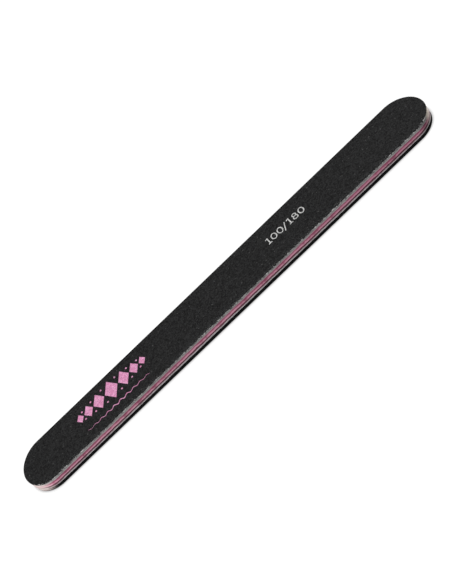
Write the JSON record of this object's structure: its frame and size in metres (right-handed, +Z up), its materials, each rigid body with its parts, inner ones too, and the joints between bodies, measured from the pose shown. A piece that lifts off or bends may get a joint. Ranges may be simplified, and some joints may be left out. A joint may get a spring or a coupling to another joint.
{
  "type": "emery board",
  "caption": "Flat emery board for filing nails: full-round ends, a pink plastic core between foam pads, coarse abrasive paper below and fine abrasive paper above.",
  "frame": {"origin": "middle of the lower, coarse face", "axes": "+X along the board, the way the grit numbers read; +Y across it; +Z up, from the coarse face to the fine face"},
  "size_m": [0.178, 0.019, 0.0047],
  "materials": {
    "coarse_grit": "matte",
    "coarse_paper": "matte",
    "paper_glue": "satin",
    "foam": "matte",
    "core_glue": "satin",
    "core_plastic": "satin",
    "fine_paper": "matte",
    "fine_grit": "matte"
  },
  "bodies": {
    "root": {"coarse_grit_coat": "coarse_grit", "coarse_backing_paper": "coarse_paper", "coarse_paper_glue": "paper_glue", "coarse_foam_pad": "foam", "coarse_core_glue": "core_glue", "plastic_core": "core_plastic", "fine_core_glue": "core_glue", "fine_foam_pad": "foam", "fine_paper_glue": "paper_glue", "fine_backing_paper": "fine_paper", "fine_grit_coat": "fine_grit"}
  },
  "joints": []
}
